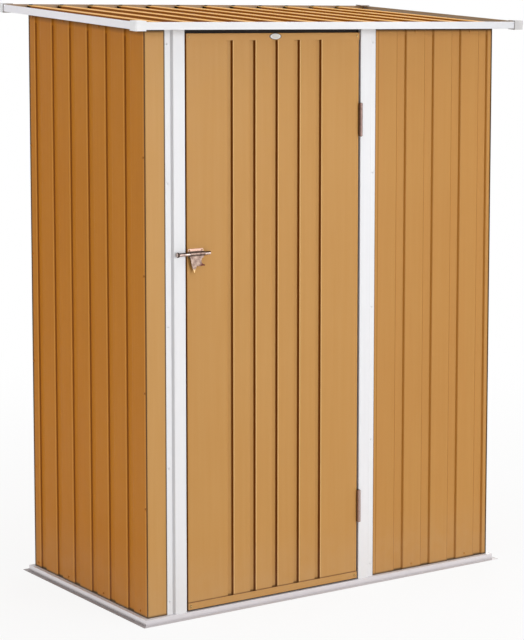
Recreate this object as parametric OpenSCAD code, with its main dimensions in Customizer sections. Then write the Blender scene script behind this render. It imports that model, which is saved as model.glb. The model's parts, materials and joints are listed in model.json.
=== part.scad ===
// Metal tool shed: fluted sheet walls on a folded base rail, a pent roof that rises to the back,
// one hinged door between two white posts, and a sliding bolt.
// Millimetres. X runs along the front, Y to the back, Z up, with the origin at the base's centre.

/* [Walls] */
// Width over the side walls
wall_w = 1360; // [1240:5:1600]
// Depth over the front and back walls
wall_d = 740; // [620:5:1000]
// From the door's head up to the foot of the roof rail in front of it
head_gap = 11; // [8:0.5:50]
// Angle at which the roof rises to the back, in degrees
roof_pitch = 3.8; // [2:0.1:6]
// Thickness of the wall, door and roof sheets
sheet_t = 0.8; // [0.6:0.1:1.2]
// Inside a bend of a sheet, radius of its middle line
sheet_bend = 3; // [2:0.5:4]
// Depth of the fold that ties two sheets at a corner
corner_fold = 20; // [12:1:30]
// Overlap of two sheets at a seam
seam_lap = 24; // [14:1:36]

/* [Flutes] */
// Distance from one flute to the next
flute_pitch = 115; // [100:1:130]
// Width of a flute at the face
flute_w = 38; // [30:1:46]
// Width of a flute's sloping side, seen from the front
flute_run = 3.5; // [2.5:0.5:8]
// Depth of a flute
flute_depth = 6.5; // [5:0.5:10]
// From the front corner to the middle of a side wall's first flute
side_flute_start = 103; // [80:1:120]
// From the right corner to the middle of the front panel's last flute
front_flute_start = 39; // [34:1:60]

/* [Rails] */
// Thickness of the rails, posts and door bars
rail_t = 1.2; // [0.8:0.1:1.6]
// Radius of a rail's bends, at the middle line
rail_bend = 2; // [1:0.5:3]
// Height of the base rail's ledge
base_h = 18; // [14:1:30]
// Ledge that shows outside the walls
base_ledge = 15; // [10:1:24]
// Flange on the ground outside the ledge
base_flange = 15; // [10:1:30]
// Lip that stands up behind the wall sheets
base_lip = 27; // [16:1:40]
// Height of the rail inside the wall tops
top_leg = 40; // [30:1:60]
// Width of the rail under the roof
top_flange = 32; // [24:1:44]

/* [Door] */
// Plain strip of wall between the left corner and the first post
corner_strip = 70; // [50:1:120]
// Width of the door
door_w = 654; // [560:1:700]
// Height of the door
door_h = 1789; // [1650:1:1795]
// Gap under the door
sill_gap = 5; // [5:0.5:12]
// Gap between the door and the post on the bolt's side
latch_gap = 5; // [4:0.5:10]
// Gap between the door and the post on the hinge side
hinge_gap = 6; // [5:0.5:9]
// Gap between the closed door and the rail that it shuts against
stop_gap = 5; // [5:0.5:8]
// Number of flutes in the door
door_flutes = 5; // [3:1:6]
// Distance between the door's flutes
door_flute_pitch = 84; // [70:1:95]
// Width of a door flute
door_flute_w = 21; // [16:1:28]
// Width of a door flute's steep side, seen from the front
door_flute_run = 2; // [1:0.5:4]
// Depth of a door flute
door_flute_depth = 9.5; // [8:0.5:12]
// Height of the bars at the door's top and bottom
bar_h = 22; // [16:1:32]
// Width of the sheet folded in behind the door's edges
door_lip = 14; // [8:1:24]

/* [Door posts] */
// Width of a post
post_w = 66; // [56:1:80]
// Width of the post's raised strip beside the door
post_strip = 41; // [30:1:44]
// Width of the slope between the two strips
post_slope = 6; // [3:0.5:8]
// Flange behind the post
post_flange = 24; // [16:1:36]

/* [Hinges] */
// Height of a hinge
hinge_h = 105; // [80:1:130]
// From the door's foot to the lower hinge
hinge_low = 191; // [100:1:300]
// From the door's head to the upper hinge
hinge_high = 226; // [100:1:300]
// Radius of the hinge barrel
barrel_r = 5.5; // [4.5:0.1:6]
// Radius of the hinge pin
pin_r = 2.5; // [2:0.1:3]
// Thickness of a hinge leaf
leaf_t = 1.5; // [1:0.1:2]
// Depth of a hinge leaf along the door's edge
leaf_w = 11; // [8:0.5:12]

/* [Bolt] */
// Radius of the sliding rod
rod_r = 5.5; // [4:0.5:7]
// Length of the rod
rod_l = 119; // [105:1:150]
// Reach of the rod over the post
rod_reach = 36; // [24:1:44]
// Height of the rod above the ground
rod_z = 1141; // [900:1:1300]
// Radius of the collar at the rod's end
collar_r = 8; // [6:0.1:9]
// Length of that collar
collar_l = 6; // [4:0.5:8]
// Width of the bolt's plate
plate_w = 56; // [48:1:70]
// Thickness of the bolt's plate
plate_t = 1.5; // [1:0.1:2.5]
// Plate above the rod's middle
plate_rise = 15; // [12:1:20]
// Plate below the rod's middle
plate_drop = 15; // [12:1:24]
// Radius of the plate's corners
plate_corner = 4; // [2:0.5:6]
// Wall of the sleeve round the rod
sleeve_t = 1.6; // [1:0.1:2.5]
// From each end of the plate to the sleeve
sleeve_inset = 2; // [1:0.5:6]
// Thickness of the apron below the sleeve
apron_t = 2; // [1.5:0.1:3]
// From the rod's middle to the apron's foot
apron_drop = 38; // [32:1:50]
// Slant of the apron's left edge
apron_slant = 9; // [4:1:14]
// Radius of the hollow in the apron's right edge
apron_hollow = 12; // [8:1:14]
// Width of the pointed tongue
tongue_w = 17; // [12:1:22]
// Length of the tongue below the apron
tongue_l = 21; // [12:1:30]

/* [Roof] */
// Height of the ribs on the roof sheets
rib_h = 10; // [7:0.5:14]
// Width of a rib's sloping side, seen from above
rib_run = 4; // [3:0.5:8]
// Overhang of the roof rails past the walls
overhang = 70; // [50:1:100]
// Room between a rib and the hem over it
rib_room = 2.8; // [2:0.2:6]
// Lip of the roof rails under the sheets
roof_lip = 25; // [18:1:40]
// Depth of the roof rails' drip below that lip
roof_drip = 7; // [4:0.5:12]
// Width of the drip
drip_w = 8; // [6:0.5:14]
// Hem along the top of the roof rails
roof_hem = 6; // [4:0.5:10]
// Wall of a corner cap
cap_t = 3.5; // [2:0.5:5]
// Length of a corner cap along the front and back
cap_x = 34; // [26:1:60]
// Length of a corner cap along the sides
cap_y = 30; // [26:1:60]
// Radius of a cap's outer corner
cap_corner = 6; // [4:0.5:10]

/* [Hidden] */
$fn = 48;
bend_steps = 2;
// Clearances: beside a sheet in its rail, under the roof, round a pin, between knuckles, in front of the door
fit = 0.5;
seat_clear = 0.05;
pin_clear = 0.05;
knuckle_gap = 0.5;
barrel_clear = 0.5;
rod_clear = 0.06;
collar_clear = 0.6;

// Walls: their top at the front, what lies inside the flutes' backs, the roof plane over a place in depth
rail_foot = roof_drip + rail_t + overhang * tan(roof_pitch);
wall_h = base_h + sill_gap + door_h + head_gap + rail_foot;
tall = 2 * wall_h;
inset = flute_depth + sheet_t;
function roof_z(y) = wall_h + (y + wall_d / 2) * tan(roof_pitch);
roof_w = wall_w + 2 * overhang;
roof_l = (wall_d + 2 * overhang) / cos(roof_pitch);
joggle = 4 * sheet_t;
// Roof rails: from the drip's foot to the hem's top
roof_rail_h = roof_drip + 2 * rail_t + sheet_t + rib_h + rib_room;
// A rail that holds a sheet in its corner is folded sharp inside
sharp_bend = rail_t / 2;

// Door: its edges, the posts' faces beside it, and its face in front of the wall
jamb_left = corner_strip + post_w - wall_w / 2;
door_left = jamb_left + latch_gap;
door_right = door_left + door_w;
door_x = (door_left + door_right) / 2;
jamb_right = door_right + hinge_gap;
door_foot = base_h + sill_gap;
door_head = door_foot + door_h;
door_depth = door_flute_depth + sheet_t;
door_face = stop_gap + door_depth + rail_t - inset;
post_face = door_face + rail_t;
post_tuck = post_strip + post_slope + fit;

// Hinges: the axis, and one knuckle of three
hinge_x = door_right + hinge_gap / 2;
hinge_out = post_face + barrel_clear + barrel_r;
leaf_front = -barrel_r - barrel_clear;
knuckle_h = hinge_h / 3;

// Bolt: the plate beside the door's edge, and the rod in front of it
plate_edge = 3;
plate_left = door_left + plate_edge;
plate_front = door_face + plate_t;
rod_out = post_face + collar_clear + collar_r;
rod_left = jamb_left - rod_reach;

tan_paint = "#C79759";
shade_paint = "#B98746";
white_paint = "#F0F0F3";
grey_paint = "#D8D6DC";
dark_primer = "#262425";
zinc = "#A6A29C";

// Folded sheet: a middle line with round bends, thickened to both sides
function unit(v) = v / norm(v);
function left_of(v) = [-v[1], v[0]];
function turned_back(list) = [for (i = [len(list) - 1 : -1 : 0]) list[i]];

// Arc of radius r that rounds the corner b between a and c
function corner_arc(a, b, c, r) =
    let (
        u = unit(a - b),
        v = unit(c - b),
        half = acos(u * v) / 2,
        centre = b + unit(u + v) * r / sin(half),
        start = b + u * r / tan(half) - centre,
        finish = b + v * r / tan(half) - centre,
        sweep = 180 - 2 * half
    )
    [for (k = [0 : bend_steps])
        let (f = k / bend_steps)
        centre + (start * sin((1 - f) * sweep) + finish * sin(f * sweep)) / sin(sweep)];

function bent(path, r) = [
    for (i = [0 : len(path) - 1])
        each i == 0 || i == len(path) - 1
            ? [path[i]]
            : corner_arc(path[i - 1], path[i], path[i + 1], r)
];

// Path moved sideways by d, with mitred corners
function shifted(path, d) =
    let (last = len(path) - 1)
    [for (i = [0 : last])
        let (
            before = unit(path[max(i, 1)] - path[max(i, 1) - 1]),
            after = unit(path[min(i, last - 1) + 1] - path[min(i, last - 1)]),
            n = left_of(before) + left_of(after)
        )
        path[i] + n * 2 * d / (n * n)];

module folded(path, t, r) {
    line = bent(path, r);
    polygon(concat(shifted(line, t / 2), turned_back(shifted(line, -t / 2))));
}

// Middle line of flutes at the given places, the bands' outer faces at 0; ribs where the depth is negative
function fluted(places, w, run, depth) = [
    for (c = places)
        each [
            [c - w / 2, -sheet_t / 2],
            [c - w / 2 + run, -depth - sheet_t / 2],
            [c + w / 2 - run, -depth - sheet_t / 2],
            [c + w / 2, -sheet_t / 2]
        ]
];
function wall_flutes(places) = fluted(places, flute_w, flute_run, flute_depth);

// Flutes to one side of a seam, half a pitch from it, as far as the limit
function flutes_from_seam(limit) = [
    for (c = [flute_pitch / 2 : flute_pitch : limit - flute_w / 2 - 2 * sheet_bend]) c
];

// Places: s along a face, its outward direction as Y, and the roof's own sloping frame
module on_front() { mirror([0, 1, 0]) translate([0, wall_d / 2, 0]) children(); }
module on_side(turn, half) { rotate([0, 0, turn]) translate([0, half, 0]) children(); }
module on_roof() {
    translate([0, 0, roof_z(0)]) rotate([roof_pitch, 0, 0]) children();
}
module under_roof() {
    difference() {
        children();
        on_roof() translate([-tall, -tall, 0]) cube([2 * tall, 2 * tall, tall]);
    }
}

// Profile in (outward, up), carried along a face for a length
module along(length) { rotate([90, 0, 90]) linear_extrude(length, center = true) children(); }

// Upright prism whose ends are cut at 45 degrees, to meet the pieces round the corner
module mitre(half, outer, inner) {
    translate([0, 0, -tall])
        linear_extrude(2 * tall)
            polygon([
                [-half - outer, outer], [half + outer, outer], [half - inner, -inner], [-half + inner, -inner]
            ]);
}

module standing_sheet(path) {
    translate([0, 0, base_h]) linear_extrude(tall) folded(path, sheet_t, sheet_bend);
}

// Base rail: flange on the ground, web, ledge that carries the sheets, lip behind them
module base_rail(turn, half, reach) {
    outer = base_ledge + base_flange;
    inner = inset + rail_t;
    low = rail_t / 2;
    ledge = base_h - rail_t / 2;
    web = base_ledge - rail_t / 2;
    lip = -inset - rail_t / 2;
    color(grey_paint)
        on_side(turn, reach)
            intersection() {
                along(2 * (half + outer))
                    folded([[outer, low], [web, low], [web, ledge], [lip, ledge], [lip, base_h + base_lip]],
                        rail_t, sharp_bend);
                mitre(half, outer, inner);
            }
}
module base_rail_front() { base_rail(180, wall_w / 2, wall_d / 2); }
module base_rail_back() { base_rail(0, wall_w / 2, wall_d / 2); }
module base_rail_left() { base_rail(90, wall_d / 2, wall_w / 2); }
module base_rail_right() { base_rail(270, wall_d / 2, wall_w / 2); }

// Side walls: one fluted sheet each, from corner to corner
module wall_left() {
    last = wall_d - flute_w / 2 - 2 * sheet_bend;
    places = [for (c = [side_flute_start : flute_pitch : last]) c - wall_d / 2];
    ends = [[-wall_d / 2, -sheet_t / 2], [wall_d / 2, -sheet_t / 2]];
    color(shade_paint)
        under_roof()
            on_side(90, wall_w / 2)
                standing_sheet(concat([ends[0]], wall_flutes(places), [ends[1]]));
}
module wall_right() { mirror([1, 0, 0]) wall_left(); }

// Back wall: two sheets, folded in at the corners, that lap over a band in the middle
corner_s = wall_w / 2 - 1.5 * sheet_t;
corner_end = [[corner_s, -sheet_t / 2], [corner_s, -corner_fold]];
back_places = flutes_from_seam(corner_s);

// Seam edges: the lower sheet runs on flat, the upper sheet steps over it
lower_edge = [[-seam_lap / 2, -sheet_t / 2]];
upper_edge = [
    [-seam_lap / 2, sheet_t / 2],
    [seam_lap / 2 + sheet_t, sheet_t / 2],
    [seam_lap / 2 + sheet_t + joggle, -sheet_t / 2]
];
module back_sheet(edge) {
    color(shade_paint)
        under_roof()
            translate([0, wall_d / 2, 0])
                standing_sheet(concat(edge, wall_flutes(back_places), corner_end));
}
module wall_back_right() { back_sheet(upper_edge); }
module wall_back_left() { mirror([1, 0, 0]) back_sheet(lower_edge); }

// Front panels: a plain strip at the left corner and a fluted sheet on the right, under the posts
module front_corner_panel() {
    edge = post_tuck - jamb_left;
    color(tan_paint)
        under_roof()
            on_front()
                mirror([1, 0, 0])
                    standing_sheet(concat([[edge, -sheet_t / 2]], corner_end));
}
module front_side_panel() {
    edge = jamb_right + post_tuck;
    first = wall_w / 2 - front_flute_start;
    last = jamb_right + post_w + flute_w / 2;
    places = turned_back([for (c = [first : -flute_pitch : last]) c]);
    color(tan_paint)
        under_roof()
            on_front()
                standing_sheet(concat([[edge, -sheet_t / 2]], wall_flutes(places), corner_end));
}

// Door posts: outer strip on the sheet, raised strip, jamb, and a flange behind
module door_post() {
    outer = rail_t / 2;
    face = post_face - rail_t / 2;
    back = -inset + rail_t / 2;
    translate([0, 0, base_h])
        linear_extrude(tall)
            folded([
                [post_w, outer],
                [post_strip + post_slope, outer],
                [post_strip, face],
                [rail_t / 2, face],
                [rail_t / 2, back],
                [post_flange, back]
            ], rail_t, rail_bend);
}
module door_post_left() {
    color(white_paint) under_roof() on_front() translate([jamb_left, 0, 0]) mirror([1, 0, 0]) door_post();
}
module door_post_right() {
    color(white_paint) under_roof() on_front() translate([jamb_right, 0, 0]) door_post();
}

// Top rails: a leg inside the sheets and a flange in the roof's slope
module level_top_rail(wall_y, inward) {
    leg = -inset - rail_t / 2;
    tip = -inset - top_flange;
    drop = (rail_t / 2 + seat_clear) / cos(roof_pitch);
    function seat(out) = roof_z(wall_y + inward * -out) - drop;
    color(dark_primer)
        rotate([0, 0, inward > 0 ? 180 : 0])
            translate([0, wall_d / 2, 0])
                intersection() {
                    along(wall_w)
                        folded([[leg, roof_z(wall_y) - top_leg], [leg, seat(leg)], [tip, seat(tip)]],
                            rail_t, rail_bend);
                    mitre(wall_w / 2 - fit, 0, inset + top_flange);
                }
}
module top_rail_front() { level_top_rail(-wall_d / 2, 1); }
module top_rail_back() { level_top_rail(wall_d / 2, -1); }
module sloping_top_rail(turn) {
    leg = -inset - rail_t / 2;
    flange = -rail_t / 2 - seat_clear;
    color(dark_primer)
        intersection() {
            on_roof()
                on_side(turn, wall_w / 2)
                    along(roof_l)
                        folded([[leg, -top_leg], [leg, flange], [-inset - top_flange, flange]],
                            rail_t, rail_bend);
            on_side(turn, wall_w / 2) mitre(wall_d / 2 - fit, 0, inset + top_flange);
        }
}
module top_rail_left() { sloping_top_rail(90); }
module top_rail_right() { sloping_top_rail(270); }

// Roof sheets: ribs that stand up from front to back, pans down on the rails' lips, lapped in the middle
module roof_sheet(edge) {
    side = roof_w / 2 - rail_t - fit;
    places = flutes_from_seam(side);
    path = concat(edge, fluted(places, flute_w, rib_run, -rib_h), [[side, -sheet_t / 2]]);
    color(tan_paint)
        on_roof()
            translate([0, 0, sheet_t])
                rotate([90, 0, 0])
                    linear_extrude(roof_l - 2 * (rail_t + fit), center = true)
                        folded(path, sheet_t, sheet_bend);
}
module roof_sheet_right() { roof_sheet(upper_edge); }
module roof_sheet_left() { mirror([1, 0, 0]) roof_sheet(lower_edge); }

// Roof rails: lip under the sheets, drip below it, web, hem over the ribs
module roof_rail(turn, half, reach) {
    web = -rail_t / 2;
    lip = -rail_t / 2;
    low = lip - roof_drip;
    top = low + roof_rail_h - rail_t;
    color(white_paint)
        on_roof()
            on_side(turn, reach)
                intersection() {
                    along(2 * half)
                        folded([
                            [-roof_lip, lip], [-drip_w, lip], [-drip_w, low],
                            [web, low], [web, top], [-roof_hem, top]
                        ], rail_t, sharp_bend);
                    mitre(half, 0, roof_lip);
                }
}
module roof_rail_front() { roof_rail(180, roof_w / 2, roof_l / 2); }
module roof_rail_back() { roof_rail(0, roof_w / 2, roof_l / 2); }
module roof_rail_left() { roof_rail(90, roof_l / 2, roof_w / 2); }
module roof_rail_right() { roof_rail(270, roof_l / 2, roof_w / 2); }

// Corner caps: moulded shells over the rails' corners
module roof_cap(side, end) {
    low = -rail_t - roof_drip;
    shift = cap_t - cap_corner;
    color(white_paint)
        on_roof()
            mirror([side < 0 ? 1 : 0, 0, 0])
                mirror([0, end < 0 ? 1 : 0, 0])
                    translate([roof_w / 2, roof_l / 2, low])
                        difference() {
                            translate([0, 0, -cap_t])
                                linear_extrude(roof_rail_h + 2 * cap_t) {
                                    translate([-cap_x, -cap_y]) square([cap_x + cap_t, cap_y + shift]);
                                    translate([-cap_x, -cap_y]) square([cap_x + shift, cap_y + cap_t]);
                                    translate([shift, shift]) circle(cap_corner);
                                }
                            translate([-2 * cap_x, -2 * cap_y, 0]) cube([2 * cap_x, 2 * cap_y, roof_rail_h]);
                        }
}
module roof_cap_front_left() { roof_cap(-1, -1); }
module roof_cap_front_right() { roof_cap(1, -1); }
module roof_cap_back_left() { roof_cap(-1, 1); }
module roof_cap_back_right() { roof_cap(1, 1); }

// Door: a fluted sheet with folded edges, held in a channel at its head and its foot
module door_sheet() {
    edge = door_w / 2 - sheet_t / 2;
    back = -door_flute_depth - sheet_t / 2;
    lip = [[edge - door_lip, back], [edge, back], [edge, -sheet_t / 2]];
    middle = (door_flutes - 1) / 2;
    places = [for (k = [0 : door_flutes - 1]) (k - middle) * door_flute_pitch];
    flutes = fluted(places, door_flute_w, door_flute_run, door_flute_depth);
    path = concat([for (p = lip) [-p[0], p[1]]], flutes, turned_back(lip));
    color(tan_paint)
        on_front()
            translate([door_x, door_face, door_foot + rail_t])
                linear_extrude(door_h - 2 * rail_t)
                    folded(path, sheet_t, sheet_bend);
}
module door_bar() {
    front = rail_t / 2;
    back = -door_depth - rail_t / 2;
    color(tan_paint)
        on_front()
            translate([door_x, door_face, 0])
                along(door_w)
                    folded([[front, bar_h], [front, rail_t / 2], [back, rail_t / 2], [back, bar_h]],
                        rail_t, sharp_bend);
}
module door_bottom_bar() { translate([0, 0, door_foot]) door_bar(); }
module door_top_bar() { translate([0, 0, door_head]) mirror([0, 0, 1]) door_bar(); }

// Butt hinges: leaves in the gap beside the door, barrel in front, the pin fixed in the post's knuckles
module hinge_at(z) { on_front() translate([hinge_x, hinge_out, z]) children(); }
module leaf(side) {
    left = side < 0 ? -hinge_gap / 2 : hinge_gap / 2 - leaf_t;
    translate([left, leaf_front - leaf_w, 0]) cube([leaf_t, leaf_w, hinge_h]);
}
module knuckle(side, low, high) {
    left = side < 0 ? -hinge_gap / 2 : hinge_gap / 2 - leaf_t;
    translate([0, 0, low]) {
        cylinder(r = barrel_r, h = high - low);
        translate([left, leaf_front, 0]) cube([leaf_t, -leaf_front, high - low]);
    }
}
module post_leaf(z) {
    color(zinc)
        hinge_at(z) {
            leaf(1);
            knuckle(1, 0, knuckle_h - knuckle_gap / 2);
            knuckle(1, 2 * knuckle_h + knuckle_gap / 2, hinge_h);
            cylinder(r = pin_r, h = hinge_h);
        }
}
module door_leaf(z) {
    color(zinc)
        hinge_at(z)
            difference() {
                union() {
                    leaf(-1);
                    knuckle(-1, knuckle_h + knuckle_gap / 2, 2 * knuckle_h - knuckle_gap / 2);
                }
                cylinder(r = pin_r + pin_clear, h = hinge_h);
            }
}
upper_hinge_z = door_head - hinge_high - hinge_h;
lower_hinge_z = door_foot + hinge_low;
module upper_hinge_post_leaf() { post_leaf(upper_hinge_z); }
module upper_hinge_door_leaf() { door_leaf(upper_hinge_z); }
module lower_hinge_post_leaf() { post_leaf(lower_hinge_z); }
module lower_hinge_door_leaf() { door_leaf(lower_hinge_z); }

// Bolt: a plate with a sleeve and an apron, and the rod that slides in the sleeve
module upright(t) { rotate([90, 0, 0]) linear_extrude(t, center = true) children(); }
module sleeve(r, length) { rotate([0, 90, 0]) cylinder(r = r, h = length); }
module plate_outline() {
    far = plate_w - plate_corner;
    low = plate_corner - plate_drop;
    high = plate_rise - plate_corner;
    translate([plate_corner, -plate_drop]) square([far - plate_corner, plate_rise + plate_drop]);
    translate([0, low]) square([plate_w, high - low]);
    for (x = [plate_corner, far], z = [low, high]) translate([x, z]) circle(plate_corner);
}

// Apron: slanted on the left down to the tongue's point, hollowed on the right above its foot
module apron_outline() {
    top = -rod_r - sleeve_t / 2;
    foot = -apron_drop;
    right = plate_w - 2 * sleeve_inset;
    difference() {
        polygon([
            [sleeve_inset, top], [right, top], [right, foot / 2], [plate_w, foot],
            [apron_slant + tongue_w, foot], [apron_slant + tongue_w / 2, foot - tongue_l], [apron_slant, foot]
        ]);
        translate([right + apron_hollow / 4, (top + foot) / 2]) circle(apron_hollow);
    }
}
module latch_plate() {
    length = plate_w - 2 * sleeve_inset;
    color(zinc)
        on_front()
            translate([plate_left, 0, rod_z]) {
                translate([0, door_face + plate_t / 2, 0]) upright(plate_t) plate_outline();
                translate([0, rod_out, 0]) upright(apron_t) apron_outline();
                difference() {
                    translate([sleeve_inset, 0, 0]) {
                        translate([0, rod_out, 0]) sleeve(rod_r + sleeve_t, length);
                        translate([0, plate_front, -rod_r / 2]) cube([length, rod_out - plate_front, rod_r]);
                    }
                    translate([0, rod_out, 0]) sleeve(rod_r + rod_clear, plate_w);
                }
            }
}
module latch_bolt() {
    edge = collar_l / 6;
    color(zinc)
        on_front()
            translate([rod_left, rod_out, rod_z])
                rotate([0, 90, 0]) {
                    cylinder(r = rod_r, h = rod_l);
                    rotate_extrude()
                        polygon([[0, 0], [collar_r - edge, 0], [collar_r, edge], [collar_r, collar_l - edge],
                            [collar_r - edge, collar_l], [0, collar_l]]);
                }
}

base_rail_front();
base_rail_back();
base_rail_left();
base_rail_right();
wall_left();
wall_right();
wall_back_left();
wall_back_right();
front_corner_panel();
front_side_panel();
door_post_left();
door_post_right();
top_rail_front();
top_rail_back();
top_rail_left();
top_rail_right();
roof_sheet_left();
roof_sheet_right();
roof_rail_front();
roof_rail_back();
roof_rail_left();
roof_rail_right();
roof_cap_front_left();
roof_cap_front_right();
roof_cap_back_left();
roof_cap_back_right();
door_sheet();
door_top_bar();
door_bottom_bar();
upper_hinge_post_leaf();
upper_hinge_door_leaf();
lower_hinge_post_leaf();
lower_hinge_door_leaf();
latch_plate();
latch_bolt();
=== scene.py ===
import json
import math

import bmesh
import bpy
import numpy as np
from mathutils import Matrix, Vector


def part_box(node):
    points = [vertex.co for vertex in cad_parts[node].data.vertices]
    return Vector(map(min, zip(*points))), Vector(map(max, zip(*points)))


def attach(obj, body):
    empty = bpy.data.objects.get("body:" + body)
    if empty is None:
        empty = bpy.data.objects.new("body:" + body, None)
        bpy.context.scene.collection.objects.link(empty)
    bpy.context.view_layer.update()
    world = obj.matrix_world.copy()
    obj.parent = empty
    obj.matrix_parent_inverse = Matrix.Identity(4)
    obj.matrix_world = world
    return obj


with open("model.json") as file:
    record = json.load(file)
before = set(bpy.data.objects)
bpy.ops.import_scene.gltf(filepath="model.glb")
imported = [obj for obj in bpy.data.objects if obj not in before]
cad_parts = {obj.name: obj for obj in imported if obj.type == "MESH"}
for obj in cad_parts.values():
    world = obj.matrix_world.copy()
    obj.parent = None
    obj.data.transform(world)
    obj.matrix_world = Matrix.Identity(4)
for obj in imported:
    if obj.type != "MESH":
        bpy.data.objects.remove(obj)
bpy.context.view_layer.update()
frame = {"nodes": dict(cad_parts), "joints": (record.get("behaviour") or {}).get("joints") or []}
nodes = frame["nodes"]


# Sizes and places in metres, from the frame where it has them

MM = 0.001
ROOF_PITCH = math.radians(3.8)
SHEET_T, RAIL_T, PLATE_T = 0.8 * MM, 1.2 * MM, 1.5 * MM
# The walls, the front panel and the roof share one pitch of flutes
FLUTE_PITCH, DOOR_PITCH = 115 * MM, 84 * MM

left_wall, right_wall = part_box("wall_left"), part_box("wall_right")
left_x, right_x = left_wall[0].x, right_wall[1].x
base_top, back_top, side_end = left_wall[0].z, left_wall[1].z, left_wall[1].y
back_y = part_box("wall_back_right")[1].y
front_lo, front_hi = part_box("front_side_panel")
front_y, front_top = front_lo.y, front_hi.z
left_post, right_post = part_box("door_post_left"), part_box("door_post_right")
bar_lo, bar_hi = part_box("door_top_bar")
foot_lo, foot_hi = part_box("door_bottom_bar")
plate_lo, plate_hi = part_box("latch_plate")
rod_lo, rod_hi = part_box("latch_bolt")
back_rail_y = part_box("roof_rail_back")[0].y

door_mid = (bar_lo.x + bar_hi.x) / 2
bar_mid, foot_mid = (bar_lo.z + bar_hi.z) / 2, (foot_lo.z + foot_hi.z) / 2
rod_mid = (rod_lo + rod_hi) / 2
# The middle of one flute on each side, and of one rib on the roof
side_flute, back_flute, panel_flute = front_y + 103 * MM, FLUTE_PITCH / 2, right_x - 39 * MM
roof_rib = FLUTE_PITCH / 2


def roof_height(y):
    """Height of the roof plane over a place in depth."""
    return back_top + (y - back_y) * math.tan(ROOF_PITCH)


# Nodes and colours

def linear(code):
    """An sRGB hex code as linear red, green, blue and alpha."""
    srgb = np.array([int(code[i:i + 2], 16) for i in (0, 2, 4)]) / 255
    return (*np.where(srgb <= 0.04045, srgb / 12.92, ((srgb + 0.055) / 1.055) ** 2.4).tolist(), 1.0)


def add(tree, kind, inputs=None, **settings):
    """Adds a node of a kind, sets its properties, and sets its inputs or links them from sockets."""
    made = tree.nodes.new(kind)
    for name, value in settings.items():
        setattr(made, name, value)
    for name, value in (inputs or {}).items():
        if isinstance(value, bpy.types.NodeSocket):
            tree.links.new(value, made.inputs[name])
        else:
            made.inputs[name].default_value = value
    return made


def fresh(name):
    """An empty material and its node tree."""
    material = bpy.data.materials.new(name)
    material.use_nodes = True
    material.node_tree.nodes.clear()
    return material, material.node_tree


def maths(tree, operation, *values):
    """The result of an operation on one, two or three values."""
    return add(tree, "ShaderNodeMath", dict(enumerate(values)), operation=operation).outputs[0]


def vector_maths(tree, operation, *values):
    """The vector that an operation makes of one or two vectors."""
    return add(tree, "ShaderNodeVectorMath", dict(enumerate(values)), operation=operation).outputs["Vector"]


def length(tree, vector):
    """How long a vector is."""
    return add(tree, "ShaderNodeVectorMath", {0: vector}, operation="LENGTH").outputs["Value"]


def along(tree, vector, direction):
    """How far a vector reaches along a direction."""
    reach = add(tree, "ShaderNodeVectorMath", {0: vector, 1: direction}, operation="DOT_PRODUCT")
    return reach.outputs["Value"]


def ramp(tree, value, start, full, low=0.0, high=1.0, curve="LINEAR"):
    """A value between start and full, carried to between low and high, and held there beyond."""
    ends = {"From Min": start, "From Max": full, "To Min": low, "To Max": high}
    return add(tree, "ShaderNodeMapRange", {"Value": value, **ends}, interpolation_type=curve).outputs[0]


def noise(tree, place, size, detail):
    """Smooth noise from 0 to 1, in patches of about a size."""
    patches = add(tree, "ShaderNodeTexNoise", {"Vector": place, "Scale": 1 / size, "Detail": detail})
    return patches.outputs["Fac"]


def mixed(tree, share, under, over):
    """The colour under, passing into the colour over as the share goes from 0 to 1."""
    mix = add(tree, "ShaderNodeMix", {"Factor": share, "A": under, "B": over}, data_type="RGBA")
    return mix.outputs["Result"]


def towards(tree, place, under, direction, start, full, over):
    """The colour under, passing into the colour over from a start to a full distance along a direction."""
    return mixed(tree, ramp(tree, along(tree, place, direction), start, full), under, linear(over))


def striped(tree, place, under, over, direction, first, pitch, half, reach=0.0, count=40):
    """The colour under, crossed by stripes of the colour over. A count of middles follow each other along
    the direction by the pitch, from the first on. A stripe lies at the reach to both sides of each middle,
    and half its width lies to either hand."""
    shift = maths(tree, "SUBTRACT", along(tree, place, direction), first)
    near = maths(tree, "PINGPONG", shift, pitch / 2)
    stripe = maths(tree, "COMPARE", near, reach, half)
    row = maths(tree, "COMPARE", shift, (count - 1) / 2 * pitch, count / 2 * pitch)
    return mixed(tree, maths(tree, "MULTIPLY", stripe, row), under, linear(over))


# Materials

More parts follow.
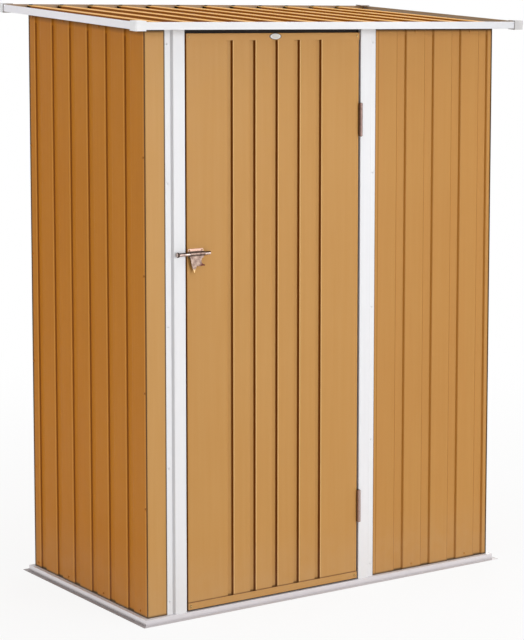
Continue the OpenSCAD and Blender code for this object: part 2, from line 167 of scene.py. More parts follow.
def coil_paint(name, film, steep, back, inward, rolled, rough, lines=(), folds=None, butt_shadows=None, ends=None,
               flutes=None, shine=0.2):
    """Polyester paint rolled on to zinc-coated steel in the coil and baked, with a thin coat on the reverse.
    The eye sees an even satin film with faint streaks the way the sheet was rolled, a slow drift of tone over
    each sheet, painted shade on the steep sides of the folds and a fine painted line along them, painted
    shade in the laps, orange peel in the highlights, a slight buckle of the thin sheet, and a trace of pale
    dust near the ground. Each of the lines is painted shade: a direction, where along it the shade starts and
    is full, and its colour; ends gives in the same way how the painted shade on the steep sides of the folds
    changes at the end of the fold. Folds are stripes on the face: painted highlights on some sheets, painted
    shade lines on others. The stripes on the reverse are painted shadows. Flutes are a direction, the middle
    of one flute and
    the pitch: a steep side that looks away from the middle of its flute is on the reverse."""
    material, tree = fresh(name)
    spot = add(tree, "ShaderNodeTexCoord")
    place, normal = spot.outputs["Object"], spot.outputs["Normal"]
    drift = noise(tree, place, 420 * MM, 3.0)
    strip = add(tree, "ShaderNodeMapping", {"Vector": place, "Scale": rolled}).outputs[0]
    streak = noise(tree, strip, 11 * MM, 2.0)
    tone = ramp(tree, maths(tree, "ADD", drift, streak), 0.4, 1.6)
    even = mixed(tree, tone, linear(film[0]), linear(film[1]))
    # Painted highlights and painted shade lines along the folds, painted shadows on the reverse, painted
    # shade on the steep sides
    even = striped(tree, place, even, **folds) if folds else even
    reverse = striped(tree, place, linear(back), **butt_shadows) if butt_shadows else linear(back)
    flank = towards(tree, place, linear(steep), *ends) if ends else linear(steep)
    if flutes:
        across, middle, pitch = flutes
        shift = maths(tree, "SUBTRACT", along(tree, place, across), middle)
        off = maths(tree, "WRAP", shift, pitch / 2, -pitch / 2)
        away = maths(tree, "MULTIPLY", off, along(tree, normal, across))
        flank = mixed(tree, maths(tree, "GREATER_THAN", away, 0.0), flank, linear(back))
    # Which way the sheet faces: 1 on its reverse, -1 on its face, near 0 on the steep sides of its folds
    facing = along(tree, normal, inward)
    side = ramp(tree, maths(tree, "ABSOLUTE", facing), 0.48, 0.78, 1.0, 0.0)
    # The steep sides take the painted shade and the reverse takes the back coat
    coat = mixed(tree, ramp(tree, facing, 0.3, 0.6), mixed(tree, side, even, flank), reverse)
    # The lines lay painted shade over the coat
    for line in lines:
        coat = towards(tree, place, coat, *line)
    # Dust: at most a sixth at the foot, and none above 0.26 m
    height = add(tree, "ShaderNodeSeparateXYZ", {"Vector": place}).outputs["Z"]
    low = ramp(tree, height, 0.02, 0.26, 0.16, 0.0, "SMOOTHSTEP")
    patch = noise(tree, place, 46 * MM, 5.0)
    colour = mixed(tree, maths(tree, "MULTIPLY", low, patch), coat, linear("CDBFA6"))
    # Orange peel is about 1.5 mm across; it is drawn at 4 mm so that a close view shows it
    peel = noise(tree, place, 4 * MM, 1.0)
    buckle = noise(tree, place, 260 * MM, 0.0)
    wave = add(tree, "ShaderNodeBump", {"Height": buckle, "Strength": 0.3, "Distance": 1.2 * MM}).outputs[0]
    skin = add(tree, "ShaderNodeBump", {
        "Height": peel, "Strength": 0.25, "Distance": 0.08 * MM, "Normal": wave})
    gloss = ramp(tree, patch, 0.3, 0.7, rough - 0.04, rough + 0.05)
    shader = add(tree, "ShaderNodeBsdfPrincipled", {
        "Base Color": colour, "Metallic": 0.0, "Roughness": gloss, "IOR": 1.5, "Specular IOR Level": shine,
        "Normal": skin.outputs[0]})
    add(tree, "ShaderNodeOutputMaterial", {"Surface": shader.outputs[0]})
    return material


def zinc_plate(name, deep, pale, rough, dust_and_shade=(0.25, 0.75), collar=None, tints=()):
    """Zinc electroplated on steel and passivated. The eye sees a warm grey metal, blurred reflections, cloudy
    patches of the passivation, fine lines left from rolling, and, on what faces up, dark oily dust with a
    painted dark reflection, from the first to the second of the two shares given for it. A collar gets a
    painted dark
    reflection round its rim: it is a place on an axis along x, and the radius beyond which it lies. Each of
    the tints is a direction, where along it the tint starts and is full, and its colour."""
    material, tree = fresh(name)
    spot = add(tree, "ShaderNodeTexCoord")
    place = spot.outputs["Object"]
    cloud = noise(tree, place, 13 * MM, 4.0)
    drawn = add(tree, "ShaderNodeMapping", {"Vector": place, "Scale": (0.05, 1.0, 1.0)}).outputs[0]
    lines = noise(tree, drawn, 0.9 * MM, 2.0)
    plate = mixed(tree, ramp(tree, cloud, 0.35, 0.65), linear(deep), linear(pale))
    for tint in tints:
        plate = towards(tree, place, plate, *tint)
    # Dust and a painted dark reflection on what faces up
    up = add(tree, "ShaderNodeSeparateXYZ", {"Vector": spot.outputs["Normal"]}).outputs["Z"]
    dark = ramp(tree, up, *dust_and_shade)
    # A painted dark reflection round the rim of the collar
    if collar:
        axis, radius = collar
        soft = 0.4 * MM
        flat = vector_maths(tree, "MULTIPLY", vector_maths(tree, "SUBTRACT", place, axis), (0, 1, 1))
        ring = ramp(tree, length(tree, flat), radius - soft, radius + soft)
        dark = maths(tree, "MAXIMUM", dark, ring)
    colour = mixed(tree, dark, plate, linear("382D28"))
    gloss = ramp(tree, lines, 0.3, 0.7, rough - 0.08, rough + 0.08)
    skin = add(tree, "ShaderNodeBump", {"Height": lines, "Strength": 0.2, "Distance": 0.05 * MM})
    shader = add(tree, "ShaderNodeBsdfPrincipled", {
        "Base Color": colour, "Metallic": 1.0, "Roughness": gloss, "Normal": skin.outputs[0]})
    add(tree, "ShaderNodeOutputMaterial", {"Surface": shader.outputs[0]})
    return material


def moulded_plastic(name, deep, pale, rough, lipped=False, oval=None):
    """Polypropylene, nylon or styrene from a spark-eroded mould. The eye sees a matt skin with a fine even
    grain and soft, broad highlights along the edges. On a lipped piece painted shade lies on the rims that
    look in towards the middle of the shed, round the rails. On an oval piece, given by its middle and half
    axes, the sunken field is duller and a painted shadow lines the foot."""
    material, tree = fresh(name)
    spot = add(tree, "ShaderNodeTexCoord")
    place = spot.outputs["Object"]
    flow = noise(tree, place, 55 * MM, 2.0)
    colour = mixed(tree, ramp(tree, flow, 0.3, 0.7), linear(deep), linear(pale))
    if lipped:
        # Painted shade on the rims that look in towards the middle of the shed
        level = vector_maths(tree, "MULTIPLY", place, (1, 1, 0))
        rim = ramp(tree, along(tree, spot.outputs["Normal"], level), -0.1, -0.3)
        colour = mixed(tree, rim, colour, linear("A09C9A"))
    if oval:
        middle, half_axes = oval
        off = vector_maths(tree, "SUBTRACT", place, middle)
        out = length(tree, vector_maths(tree, "DIVIDE", off, half_axes))
        rings = add(tree, "ShaderNodeValToRGB", {"Fac": out})
        rings.color_ramp.elements.new(0.9)
        # Sunken field, raised rim, and a painted shadow round the foot
        stops = ((0.66, "D2CEC8"), (0.76, "F4F4F4"), (1.0, "4A3A28"))
        for stop, (share, code) in zip(rings.color_ramp.elements, stops):
            stop.position, stop.color = share, linear(code)
        colour = rings.outputs["Color"]
    grain = 2 * MM
    eroded = add(tree, "ShaderNodeTexVoronoi", {"Vector": place, "Scale": 1 / grain}, feature="SMOOTH_F1")
    skin = add(tree, "ShaderNodeBump", {
        "Height": eroded.outputs["Distance"], "Strength": 0.3, "Distance": 0.06 * MM})
    gloss = ramp(tree, flow, 0.3, 0.7, rough - 0.05, rough + 0.05)
    shader = add(tree, "ShaderNodeBsdfPrincipled", {
        "Base Color": colour, "Metallic": 0.0, "Roughness": gloss, "IOR": 1.49, "Specular IOR Level": 0.4,
        "Normal": skin.outputs[0]})
    add(tree, "ShaderNodeOutputMaterial", {"Surface": shader.outputs[0]})
    return material


# The way each sheet was rolled: streaks are stretched along the axis with the small share
UPRIGHT, FRONT_TO_BACK, ACROSS = (1.0, 1.0, 0.03), (1.0, 0.03, 1.0), (0.03, 1.0, 1.0)
DOWN, UP, UP_SLOPE = (0, 0, -1), (0, 0, 1), (0, -math.tan(ROOF_PITCH), 1)
LEFT, RIGHT, FORTH, AFT = (-1, 0, 0), (1, 0, 0), (0, -1, 0), (0, 1, 0)
# Where the reverse of each sheet looks: into the shed, or down from the roof
INWARD = {"front": AFT, "back": FORTH, "left": RIGHT, "right": LEFT, "roof": DOWN}

# Films from deep to pale, the thin coat on the reverse of the tan sheets, and painted shade for the laps.
# The tan on the front and the deeper, more saturated tan of the walls are copies of one paint, the walls' as
# painted shade, and the palest white is a copy of the white films, as painted light on the left rails
TAN, TAN_SHADED, BACK_COAT = ("BE8A48", "C49354"), ("B36D09", "BC7714"), "A89C88"
WHITE, PALE, WHITE_PAINTED_LIGHT = ("E8E8EB", "F0F0F2"), ("DEDBE0", "E9E6EB"), ("EFEDF2", "F7F5F9")
LAP_SHADE, POST_SHADE = "4A300E", "5A4A38"
# Roughness of the coats
SATIN, RAIL_SATIN, BASE_MATT, TOP_RAIL_MATT = 0.42, 0.40, 0.45, 0.55

# Painted shade in the laps: on the base rail, under the roof rails, at the corners and beside the posts
STANDING = (DOWN, -base_top - 8 * MM, -base_top - 2 * MM, LAP_SHADE)
FRONT_EAVES = (UP, front_top - 25 * MM, front_top - 17 * MM, LAP_SHADE)
LEFT_CORNER = (LEFT, -left_x - 8 * MM, -left_x - 3 * MM, LAP_SHADE)
RIGHT_CORNER = (RIGHT, right_x - 8 * MM, right_x - 3 * MM, LAP_SHADE)
STRIP_LINES = (STANDING, FRONT_EAVES, (RIGHT, left_post[0].x - 5 * MM, left_post[0].x - 2 * MM, POST_SHADE))
PANEL_LINES = (STANDING, FRONT_EAVES, (LEFT, -right_post[1].x - 4 * MM, -right_post[1].x - MM, POST_SHADE),
               RIGHT_CORNER)
# Heights over the middle of the depth, for lines of painted shade that follow the slope of the roof
eaves = roof_height(0.0)
SIDE_LINES = (STANDING, (UP_SLOPE, eaves - 34.4 * MM, eaves - 14.4 * MM, "5A3408"),
              (FORTH, -front_y - 8 * MM, -front_y - 2 * MM, LAP_SHADE),
              (AFT, side_end - 12 * MM, side_end - 5 * MM, LAP_SHADE))
BACK_LINES = (STANDING, (UP, back_top - 18 * MM, back_top - 10 * MM, LAP_SHADE), LEFT_CORNER, RIGHT_CORNER)

# The corner strip: a slightly paler copy of the tan, as painted light, with painted shade on its steep sides
# and in its laps
tan_strip = coil_paint("polyester_paint_tan_strip", ("C28F4E", "C8985A"), "8A5A1C", BACK_COAT,
                       INWARD["front"], UPRIGHT, SATIN, STRIP_LINES)
# The panel's film is a deeper copy of the tan, as painted shade, and painted shade lines run along the edges
# of its flutes. Under the roof the painted shade on the steep sides of the flutes of the panel and the walls
# fades into the film, so the flutes look flat there
tan_panel = coil_paint("polyester_paint_tan_panel", ("BA8341", "C08D4B"), "B0772C", BACK_COAT,
                       INWARD["front"], UPRIGHT, SATIN, PANEL_LINES,
                       folds=dict(over="A26C28", direction=RIGHT, first=panel_flute - 4 * FLUTE_PITCH,
                                  pitch=FLUTE_PITCH, half=1.5 * MM, reach=19.5 * MM),
                       ends=(UP, front_top - 37 * MM, front_top - 31 * MM, "BD8846"))
# Painted shade on the steep sides of the door's five flutes and a painted shadow along the top of the bottom
# bar; a painted highlight lies on the bend on the hinge side of each flute
tan_door = coil_paint("polyester_paint_tan_door", TAN, "783F00", BACK_COAT, INWARD["front"], UPRIGHT, SATIN,
                      ((DOWN, -foot_hi.z - 5 * MM, -foot_hi.z - MM, "7A4C14"),),
                      folds=dict(over="DDAE6E", direction=RIGHT, first=door_mid - 2 * DOOR_PITCH + 12.5 * MM,
                                 pitch=DOOR_PITCH, half=1.6 * MM, count=5),
                      flutes=(RIGHT, door_mid, DOOR_PITCH))
# The steep edges of the door's bars take painted shade
tan_bar = coil_paint("polyester_paint_tan_bar", TAN, "7A4C14", BACK_COAT, INWARD["front"], ACROSS, SATIN)
# The roof's film is a paler copy of the tan, as painted light from above, and the ribs' sides take painted
# shade. A painted highlight lies along the top edges of the ribs, and painted shadow darkens their far ends
# where they butt against the rail
first_rib = roof_rib - 7 * FLUTE_PITCH
tan_roof = coil_paint("polyester_paint_tan_roof", ("DEA048", "E6AA54"), "905400", BACK_COAT, INWARD["roof"],
                      FRONT_TO_BACK, SATIN, shine=0.05,
                      folds=dict(over="FFCE80", direction=RIGHT, first=first_rib, pitch=FLUTE_PITCH,
                                 half=1.7 * MM, reach=13.5 * MM),
                      ends=(AFT, back_rail_y - 7 * MM, back_rail_y + 3 * MM, "100B06"))
# Walls: the direction across the flutes, one flute, how many pitches before it the row starts, and the lines
# of painted shade
WALLS = (("left", AFT, side_flute, 4, SIDE_LINES), ("right", AFT, side_flute, 4, SIDE_LINES),
         ("back", RIGHT, back_flute, 7, BACK_LINES))
# A painted highlight lies along the bend on one side of each flute, this far from its middle; the steep sides
# of the flutes take painted shade, which fades into the film under the roof
BEND = 22 * MM
tan_walls = {}
for side, across, flute, before, lines in WALLS:
    tan_walls[side] = coil_paint(
        f"polyester_paint_tan_shaded_{side}", TAN_SHADED, "8A4E04", BACK_COAT, INWARD[side], UPRIGHT, SATIN, lines,
        folds=dict(over="C8842A", direction=across, first=flute - before * FLUTE_PITCH + BEND,
                   pitch=FLUTE_PITCH, half=3 * MM),
        ends=(UP_SLOPE, eaves - 42.4 * MM, eaves - 36.4 * MM, "B7710E"), flutes=(across, flute, FLUTE_PITCH))
# One painted shade line down the step of the right post; its pitch only has to be wider than the shed. The
# steep sides of the posts take painted shade
white_post = coil_paint("polyester_paint_white_post", WHITE, "D4D4D8", "B4B2B0", INWARD["front"], UPRIGHT,
                        RAIL_SATIN,
                        folds=dict(over="CDCDD2", direction=RIGHT, first=right_post[1].x - 23.5 * MM,
                                   pitch=4.0, half=1.6 * MM, count=1))
# Roof rails: painted shade greys the front towards its right end, and painted shadows of the rib ends lie on
# the back's reverse. The reverse is the grey back coat, in part darkened as painted shade, and bluish grey on
# the right rail as painted shade; the steep sides take a greyer white as painted shade
RIGHT_END_SHADE = (RIGHT, 0.25, 0.74, "DBDCE0")
RIB_END_SHADOWS = dict(over="16110C", direction=RIGHT, first=first_rib - 4.5 * MM, pitch=FLUTE_PITCH, half=7 * MM,
                count=13)
ROOF_RAILS = (("front", WHITE, "A49C90", (RIGHT_END_SHADE,), None), ("back", WHITE, "B4A694", (), RIB_END_SHADOWS),
              ("left", WHITE_PAINTED_LIGHT, "A49C90", (), None), ("right", WHITE, "B4B8C0", (), None))
white_rails = {}
for side, film, back, lines, butt_shadows in ROOF_RAILS:
    white_rails[side] = coil_paint(f"polyester_paint_white_{side}", film, "DCDCDF", back, INWARD[side],
                                   ACROSS, RAIL_SATIN, lines, butt_shadows=butt_shadows)
# Base rails: painted shadow where they run in under the sheets, and painted shade that darkens them towards
# the ground, least on the front
BASE_RAILS = (("front", PALE, front_y, "CDC9CD"), ("back", PALE, -side_end, "A8A2A5"),
              ("left", WHITE_PAINTED_LIGHT, left_x, "9C9699"), ("right", PALE, -right_x, "A8A2A5"))
pale_rails = {}
for side, film, sheet, ground in BASE_RAILS:
    under_sheet_shadow = (INWARD[side], sheet - 2 * MM, sheet + MM, "5C5248")
    pale_rails[side] = coil_paint(f"polyester_paint_pale_{side}", film, "E2E0E5", "A6A2A2", INWARD[side],
                                  ACROSS, BASE_MATT, (under_sheet_shadow, (DOWN, -9 * MM, -2 * MM, ground)))
# The top rails show only in the gap over the door; they are near black as painted shade
dark_rail = coil_paint("black_painted_shade", ("2A221E", "382E29"), "2C2420", "2C2420", INWARD["roof"], ACROSS,
                       TOP_RAIL_MATT)

white_cap = moulded_plastic("moulded_polypropylene_white", "E6E6E8", "F0F0F1", 0.5, lipped=True)
# The front right cap is a greyer copy of the white cap, as painted shade
shaded_cap = moulded_plastic("moulded_polypropylene_white_shaded", "C8C6C6", "D0CECE", 0.5, lipped=True)
# Screw heads take the colour of the sheets round them; on the walls that is the deeper copy of the tan, as
# painted shade
shaded_tan_nylon = moulded_plastic("moulded_nylon_tan_shaded", "A5640A", "AC6C12", 0.5)
tan_nylon = moulded_plastic("moulded_nylon_tan", "B98036", "C08A42", 0.45)
white_nylon = moulded_plastic("moulded_nylon_white", "E0E0E2", "E8E8EA", 0.45)

# Painted shade darkens the latch plate at its lower right and a painted highlight lies above the rod; the tip
# of its tongue is warm
slant = plate_hi.x - plate_lo.z
latch_zinc = zinc_plate("zinc_plate_latch", "6E5A52", "A08C80", 0.36, tints=(
    ((1, 0, -1), slant - 52 * MM, slant - 36 * MM, "54302A"),
    (UP, rod_mid.z + 5 * MM, rod_mid.z + 10 * MM, "BC9888"),
    (DOWN, -plate_lo.z - 15 * MM, -plate_lo.z - 5 * MM, "D4B07C")))
# On the rod the dark top reaches further down, as a painted dark reflection, and a painted dark reflection
# rims its collar
rod_zinc = zinc_plate("zinc_plate_rod", "B8A29A", "DCCCC4", 0.26, (0.0, 0.45), (rod_mid, 6.4 * MM))
# The lower hinge is paler than the upper
hinge_zinc = zinc_plate("zinc_plate_hinge", "826C67", "967F79", 0.42, tints=((DOWN, -0.7, -0.4, "AC958D"),))
screw_zinc = zinc_plate("zinc_plate_screw", "B39358", "CDB07A", 0.3)

# The first start that fits a node's name gives its material
STARTS = (("top_rail", dark_rail), ("roof_cap_front_right", shaded_cap), ("roof_cap", white_cap),
          ("roof_sheet", tan_roof), ("door_post", white_post), ("latch_bolt", rod_zinc),
          ("latch", latch_zinc), ("door_sheet", tan_door), ("door", tan_bar), ("front_corner", tan_strip),
          ("front_side", tan_panel))


def finish_of(name):
    """The material of a CAD node, from the words of its name."""
    words = name.split("_")
    if name.startswith("wall"):
        return tan_walls[words[1]]
    if name.startswith(("roof_rail", "base_rail")):
        return (white_rails if words[0] == "roof" else pale_rails)[words[2]]
    return next((material for start, material in STARTS if name.startswith(start)), hinge_zinc)


for name, part in nodes.items():
    part.data.materials.clear()
    part.data.materials.append(finish_of(name))


# Pieces

# Edges sharper than this stay crisp, and points nearer than this are one
SHARP, WELD = math.radians(40), 0.002 * MM
# Screws stand on every second field between flutes, at the wall's foot and this far under its top
FIELD_STEP = 2 * FLUTE_PITCH
FOOT, HEAD_DROP = base_top + 15 * MM, 22 * MM


def surface(name, grid, material, body):
    """A mesh from grids of points, one grid per copy: neighbours along both parameters are joined by quads,
    the second parameter is closed round, and rows that shrink to a point are merged into a pole."""
    copies, rows, columns = grid.shape[:3]
    index = np.arange(copies * rows * columns).reshape(copies, rows, columns)
    ahead = np.roll(index, -1, axis=2)
    quads = np.stack([index[:, :-1], ahead[:, :-1], ahead[:, 1:], index[:, 1:]], -1).reshape(-1, 4)
    mesh = bpy.data.meshes.new(name)
    mesh.from_pydata(grid.reshape(-1, 3).tolist(), [], quads.tolist())
    welded = bmesh.new()
    welded.from_mesh(mesh)
    bmesh.ops.remove_doubles(welded, verts=welded.verts, dist=WELD)
    bmesh.ops.recalc_face_normals(welded, faces=welded.faces)
    welded.to_mesh(mesh)
    welded.free()
    mesh.polygons.foreach_set("use_smooth", np.ones(len(mesh.polygons), bool))
    mesh.set_sharp_from_angle(angle=SHARP)
    mesh.materials.append(material)
    made = bpy.data.objects.new(name, mesh)
    bpy.context.scene.collection.objects.link(made)
    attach(made, body)


def set_on(local, spots, outward):
    """Local grids moved to spots: local z goes along the outward direction, x and y across it."""
    outward = np.array(outward) / np.linalg.norm(outward)
    across = np.cross([0.0, 0.0, 1.0] if abs(outward[2]) < 0.9 else [1.0, 0.0, 0.0], outward)
    across = across / np.linalg.norm(across)
    turn = np.stack([across, np.cross(outward, across), outward])
    return np.asarray(spots)[:, None, None, :] + (local @ turn)[None]


def turned(profile, sides):
    """Surface of revolution: for each radius and height in mm of the profile and each angle a, the point
    (radius cos a, radius sin a, height)."""
    radius, height = np.array(profile).T * MM
    angle = np.arange(sides) * 2 * np.pi / sides
    return np.stack([radius[:, None] * np.cos(angle), radius[:, None] * np.sin(angle),
                     np.repeat(height[:, None], sides, 1)], -1)


def oval_plate(half_w, half_h, rise, sides):
    """Low oval boss: at share r of the way out and angle a the point (half_w r cos a, half_h r sin a). Its
    height over r is a flat sunken field, a rim that swells and falls like a half sine, and a thin foot round
    it."""
    swell = np.linspace(0.0, 1.0, 9)
    share = np.concatenate([[0.0, 0.4, 0.7], 0.72 + 0.24 * swell, [0.97, 1.06, 1.06, 0.0]])
    height = np.concatenate([[0.6, 0.6, 0.6], 0.6 - 0.35 * swell + 0.55 * np.sin(np.pi * swell),
                             [0.15, 0.15, -0.2, -0.2]]) * rise
    angle = np.arange(sides) * 2 * np.pi / sides
    return np.stack([half_w * share[:, None] * np.cos(angle), half_h * share[:, None] * np.sin(angle),
                     np.repeat(height[:, None], sides, 1)], -1)


def every(*axes):
    """All combinations of the given coordinates, as rows of three."""
    return np.stack(np.meshgrid(*axes, indexing="ij"), -1).reshape(-1, 3)


def with_heads(low):
    """Spots at a wall's foot, followed by the same spots under its top."""
    heads = low.copy()
    heads[:, 2] = roof_height(low[:, 1]) - HEAD_DROP
    return np.concatenate([low, heads])


# Profiles in mm. Pan head: foot against the sheet, straight rim, dome, and a shallow dimple for the driver
PAN = [(0, -0.5), (3.6, -0.5), (3.6, 0.9), (3.3, 1.7), (2.4, 2.3), (1.5, 2.4), (1.0, 1.5), (0, 1.3)]
# A head on a wider washer that seals the roof
SEALED = [(0, -0.5), (6.4, -0.5), (6.2, 1.2), (4.2, 1.7), (3.9, 2.6), (3.0, 3.7), (1.4, 4.1), (0, 4.2)]
# A smaller head for the latch, and the domed end of a hinge pin
SMALL = [(0, -0.4), (2.6, -0.4), (2.6, 0.5), (2.2, 1.2), (1.2, 1.6), (0.8, 0.9), (0, 0.8)]
DOME = [(0, -0.4), (3.4, -0.4), (3.4, 0.6), (2.8, 1.5), (1.6, 2.1), (0, 2.3)]
wall_head, door_head = turned(PAN, sides=12), turned(PAN, sides=20)
roof_head, latch_head = turned(SEALED, sides=14), turned(SMALL, sides=18)
pin_dome = turned(DOME, sides=20)

# Side walls: also screws along both corners
CORNER_INSET, LAST_INSET, CORNER_STEP = 11 * MM, 25 * MM, 0.36
side_y = [*(side_flute - FLUTE_PITCH / 2 + np.arange(3) * FIELD_STEP), side_end - LAST_INSET]
corner_z = np.arange(1, 5) * CORNER_STEP
for side, x, outward in (("left", left_x, LEFT), ("right", right_x, RIGHT)):
    low = every([x], side_y, [FOOT])
    edge = every([x], [front_y + CORNER_INSET, back_y - CORNER_INSET], corner_z)
    spots = np.concatenate([with_heads(low), edge])
    surface(f"wall_{side}_screws", set_on(wall_head, spots, outward), shaded_tan_nylon, "shed")

# Back wall: also screws down the lap of the two sheets
LAP_Z = np.linspace(0.2, 1.7, 6)
low = every(np.arange(-2.5, 3) * FIELD_STEP, [back_y - SHEET_T], [FOOT])
spots = np.concatenate([with_heads(low), every([0.0], [back_y], LAP_Z)])
surface("wall_back_screws", set_on(wall_head, spots, AFT), shaded_tan_nylon, "shed")

# Front panel: two columns, this far to the left of its last flute
PANEL_COLUMNS = 288 * MM, FLUTE_PITCH / 2
low = every([panel_flute - step for step in PANEL_COLUMNS], [front_y], [FOOT])
surface("front_panel_screws", set_on(wall_head, with_heads(low), FORTH), tan_nylon, "shed")

# Posts: screws through the outer strip into the sheet
POST_INSET, POST_Z = 9 * MM, [0.06, 0.48, 0.92, 1.36, 1.78]
post_x = [left_post[0].x + POST_INSET, right_post[1].x - POST_INSET]
spots = every(post_x, [front_y - RAIL_T], POST_Z)
surface("door_post_screws", set_on(wall_head, spots, FORTH), white_nylon, "shed")

# Roof: sealed screws in the pans, through to the rails inside the wall tops
ROOF_INSET = 24 * MM
pans = every(np.arange(-3, 4) * FIELD_STEP, [front_y + ROOF_INSET, back_y - ROOF_INSET], [0.0])
pans[:, 2] = roof_height(pans[:, 1]) + SHEET_T
roof_up = (0.0, -math.sin(ROOF_PITCH), math.cos(ROOF_PITCH))
surface("roof_screws", set_on(roof_head, pans, roof_up), tan_nylon, "shed")

# Door: a bright screw at each end of the two bars
BOLT_INSET, HINGE_INSET = 9 * MM, 10 * MM
ends = [bar_lo.x + BOLT_INSET, bar_hi.x - HINGE_INSET]
spots = np.concatenate([every(ends, [bar_lo.y], [bar_mid]), every(ends, [foot_lo.y], [foot_mid])])
surface("door_bar_screws", set_on(door_head, spots, FORTH), screw_zinc, "door")

# Bare oval plate in the middle of the door's head: half axes, rise, and lift over the middle of the bar
OVAL_W, OVAL_H, OVAL_RISE, OVAL_LIFT = 21.4 * MM, 9.6 * MM, 1.8 * MM, 0.5 * MM
# So long a half axis that depth doesn't count
ANY_DEPTH = 1000.0
middle = every([door_mid], [bar_lo.y], [bar_mid + OVAL_LIFT])
white_plate = moulded_plastic("moulded_styrene_white", "E2E2E4", "ECECEE", 0.35,
                              oval=(middle[0], (OVAL_W, ANY_DEPTH, OVAL_H)))
boss = set_on(oval_plate(OVAL_W, OVAL_H, OVAL_RISE, sides=48), middle, FORTH)
surface("door_oval_plate", boss, white_plate, "door")

# Hinges: domed ends of the pins
pin_x, pin_y = next(joint for joint in frame["joints"] if joint["name"] == "door_hinge")["pos_m"][:2]
for name in ("upper", "lower"):
    lo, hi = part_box(f"{name}_hinge_post_leaf")
    domes = np.concatenate([set_on(pin_dome, [[pin_x, pin_y, hi.z]], UP),
                            set_on(pin_dome, [[pin_x, pin_y, lo.z]], DOWN)])
    surface(f"{name}_hinge_pin_ends", domes, hinge_zinc, "shed")

# Latch: four screws at the plate's corners
LATCH_INSET, ABOVE_ROD, BELOW_ROD = 5 * MM, 10.5 * MM, 11 * MM
spots = every([plate_lo.x + LATCH_INSET, plate_hi.x - LATCH_INSET], [plate_hi.y - PLATE_T],
              [rod_mid.z + ABOVE_ROD, rod_mid.z - BELOW_ROD])
surface("latch_screws", set_on(latch_head, spots, FORTH), screw_zinc, "door")


# Floor, light and camera

FLOOR_HALF, FLOOR_Z = 40.0, -0.5 * MM
# From the face of the sheets out to the webs of the base rails
WEB = 14 * MM
# The paper glows to the camera: by a share near the shed, in full far off, and least where the shed covers it
NEAR, FAR, NEAR_GLOW, COVERED_GLOW = 1.2, 4.5, 0.88, 0.1


def studio_floor():
    """Flat square sheet of four points, of matt white paper. The eye sees it pale near the shed, with a trace
    of shade, pure white further off, and dark within the webs of the base rails, where the shed covers it."""
    mesh = bpy.data.meshes.new("floor")
    corners = ((-1, -1), (1, -1), (1, 1), (-1, 1))
    mesh.from_pydata([(x * FLOOR_HALF, y * FLOOR_HALF, FLOOR_Z) for x, y in corners], [], [(0, 1, 2, 3)])
    material, tree = fresh("matt_white_paper")
    ray = add(tree, "ShaderNodeLightPath")
    place = add(tree, "ShaderNodeTexCoord").outputs["Object"]
    far = ramp(tree, length(tree, place), NEAR, FAR, curve="SMOOTHSTEP")
    paper = add(tree, "ShaderNodeBsdfDiffuse", {"Color": linear("F0F0F0")})
    white = add(tree, "ShaderNodeEmission", {"Strength": 1.0})
    glow = ramp(tree, far, 0.0, 1.0, NEAR_GLOW, 1.0)
    spot = add(tree, "ShaderNodeSeparateXYZ", {"Vector": place})
    wide = maths(tree, "COMPARE", spot.outputs["X"], 0.0, right_x + WEB)
    deep = maths(tree, "COMPARE", spot.outputs["Y"], 0.0, WEB - front_y)
    inside = maths(tree, "MULTIPLY", wide, deep)
    lit = add(tree, "ShaderNodeMix", {"Factor": inside, "A": glow, "B": COVERED_GLOW}).outputs["Result"]
    seen = maths(tree, "MULTIPLY", lit, ray.outputs["Is Camera Ray"])
    shown = add(tree, "ShaderNodeMixShader", {0: seen, 1: paper.outputs[0], 2: white.outputs[0]})
    add(tree, "ShaderNodeOutputMaterial", {"Surface": shown.outputs[0]})
    mesh.materials.append(material)
    floor = bpy.data.objects.new("floor", mesh)
    bpy.context.scene.collection.objects.link(floor)


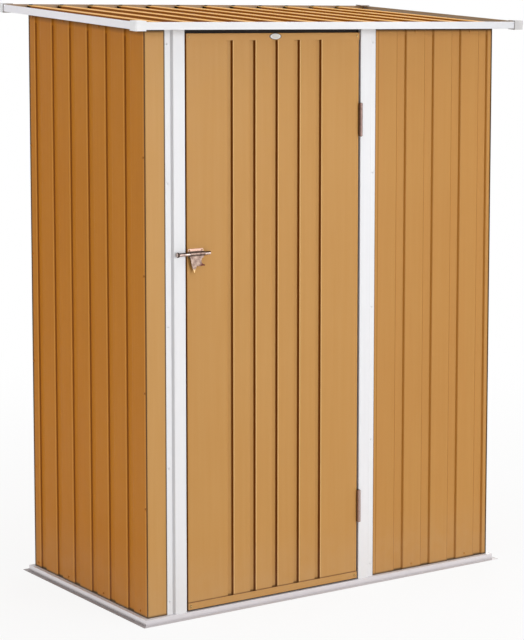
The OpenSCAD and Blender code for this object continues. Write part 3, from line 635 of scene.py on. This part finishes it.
def soft_lamp(name, place, target, size, watts):
    """Square soft box at a place, turned to a target."""
    light = bpy.data.lights.new(name, "AREA")
    light.energy, light.size = watts, size
    lamp = bpy.data.objects.new(name, light)
    lamp.location = place
    lamp.rotation_euler = (Vector(target) - Vector(place)).to_track_quat("-Z", "Y").to_euler()
    bpy.context.scene.collection.objects.link(lamp)


studio_floor()
soft_lamp("key_front_right", (2.8, -8.6, 2.6), (0, -0.3, 0.9), 4.5, 364)
soft_lamp("fill_left", (-6.0, 0.6, 0.6), (0, 0, 0.5), 1.6, 100)
soft_lamp("fill_back_right", (5.0, 6.0, 1.1), (0, 0, 0.9), 2.0, 230)
soft_lamp("top", (0.5, -0.6, 6.2), (0, 0, 1.0), 4.0, 142)

# Air: dim light all round, which the camera and reflections see as white
AIR_LIGHT = 0.42
world = bpy.data.worlds.new("studio")
world.use_nodes = True
tree = world.node_tree
tree.nodes.clear()
ray = add(tree, "ShaderNodeLightPath")
mirror = maths(tree, "MAXIMUM", ray.outputs["Is Camera Ray"], ray.outputs["Is Glossy Ray"])
open_view = maths(tree, "MAXIMUM", mirror, ray.outputs["Is Transmission Ray"])
air = add(tree, "ShaderNodeBackground", {"Color": (1, 1, 1, 1), "Strength": AIR_LIGHT})
white = add(tree, "ShaderNodeBackground", {"Color": (1, 1, 1, 1), "Strength": 1.0})
sky = add(tree, "ShaderNodeMixShader", {0: open_view, 1: air.outputs[0], 2: white.outputs[0]})
add(tree, "ShaderNodeOutputWorld", {"Surface": sky.outputs[0]})
bpy.context.scene.world = world
bpy.context.scene.view_settings.view_transform = "Standard"

# Camera as fitted to the photograph: lens in mm, degrees down from level and round from straight ahead
LENS, SHIFT, LOOK_DOWN, LOOK_ROUND = 112.9, -0.13, 6.207, -34.169
CAMERA_AT = (-3.7702, -5.5481, 1.8567)
view = bpy.data.cameras.new("camera")
view.lens, view.shift_y = LENS, SHIFT
camera = bpy.data.objects.new("camera", view)
camera.location = CAMERA_AT
camera.rotation_euler = (math.radians(90 - LOOK_DOWN), 0, math.radians(LOOK_ROUND))
bpy.context.scene.collection.objects.link(camera)
bpy.context.scene.camera = camera
